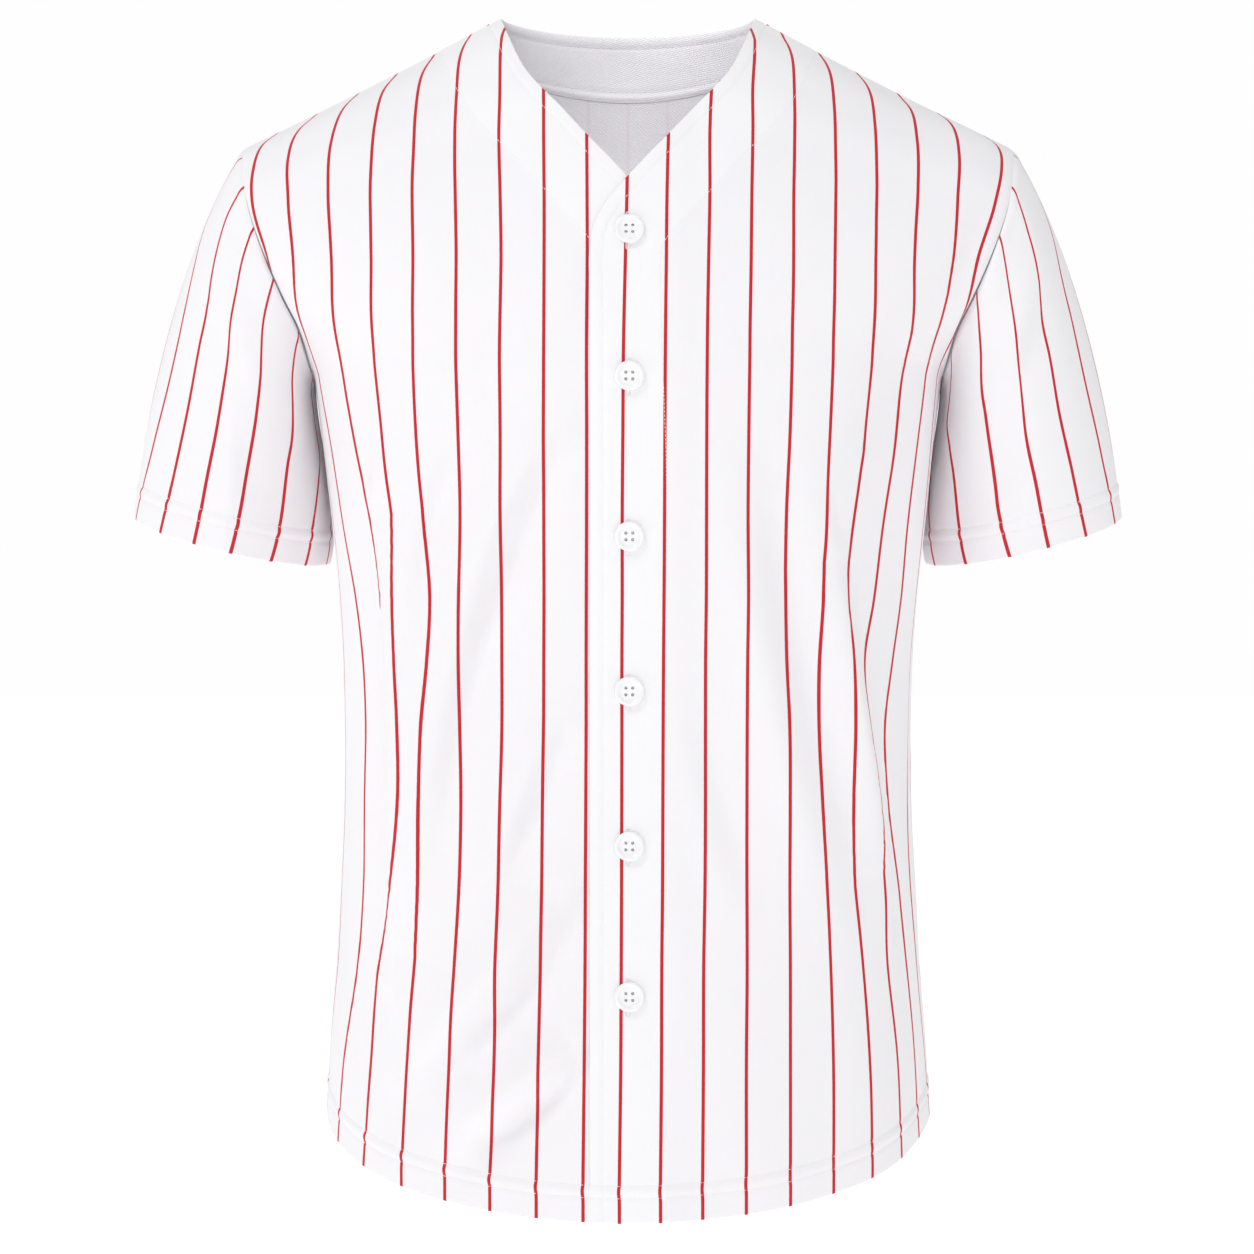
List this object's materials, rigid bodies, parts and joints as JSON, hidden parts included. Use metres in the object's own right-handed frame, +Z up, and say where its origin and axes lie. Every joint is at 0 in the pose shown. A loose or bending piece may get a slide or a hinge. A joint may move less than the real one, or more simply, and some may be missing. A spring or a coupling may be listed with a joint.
{
  "type": "baseball jersey",
  "caption": "Short-sleeved button-front jersey with a V neck, curved hem and thin vertical stripes, holding its worn shape with no wearer.",
  "frame": {"origin": "midway between the two neck points, level with the inner ends of the shoulder seams and in their plane, where the wearer's shoulders hold the jersey", "axes": "+X to the wearer's left, +Y to the wearer's back, +Z up; the front faces -Y"},
  "size_m": [0.6214, 0.2371, 0.7527],
  "materials": {
    "jersey_cloth": "matte white knitted polyester with thin red stripes an inch apart",
    "facing_cloth": "matte off-white knitted polyester with a fine diagonal rib",
    "button_plastic": "polished white",
    "thread": "white sewing thread"
  },
  "bodies": {
    "root": {"front_right": "jersey_cloth", "front_left": "jersey_cloth", "back": "jersey_cloth", "sleeve_right": "jersey_cloth", "sleeve_left": "jersey_cloth", "back_neck_facing": "facing_cloth", "button_1": "button_plastic", "button_2": "button_plastic", "button_3": "button_plastic", "button_4": "button_plastic", "button_5": "button_plastic", "button_6": "button_plastic"}
  },
  "joints": []
}
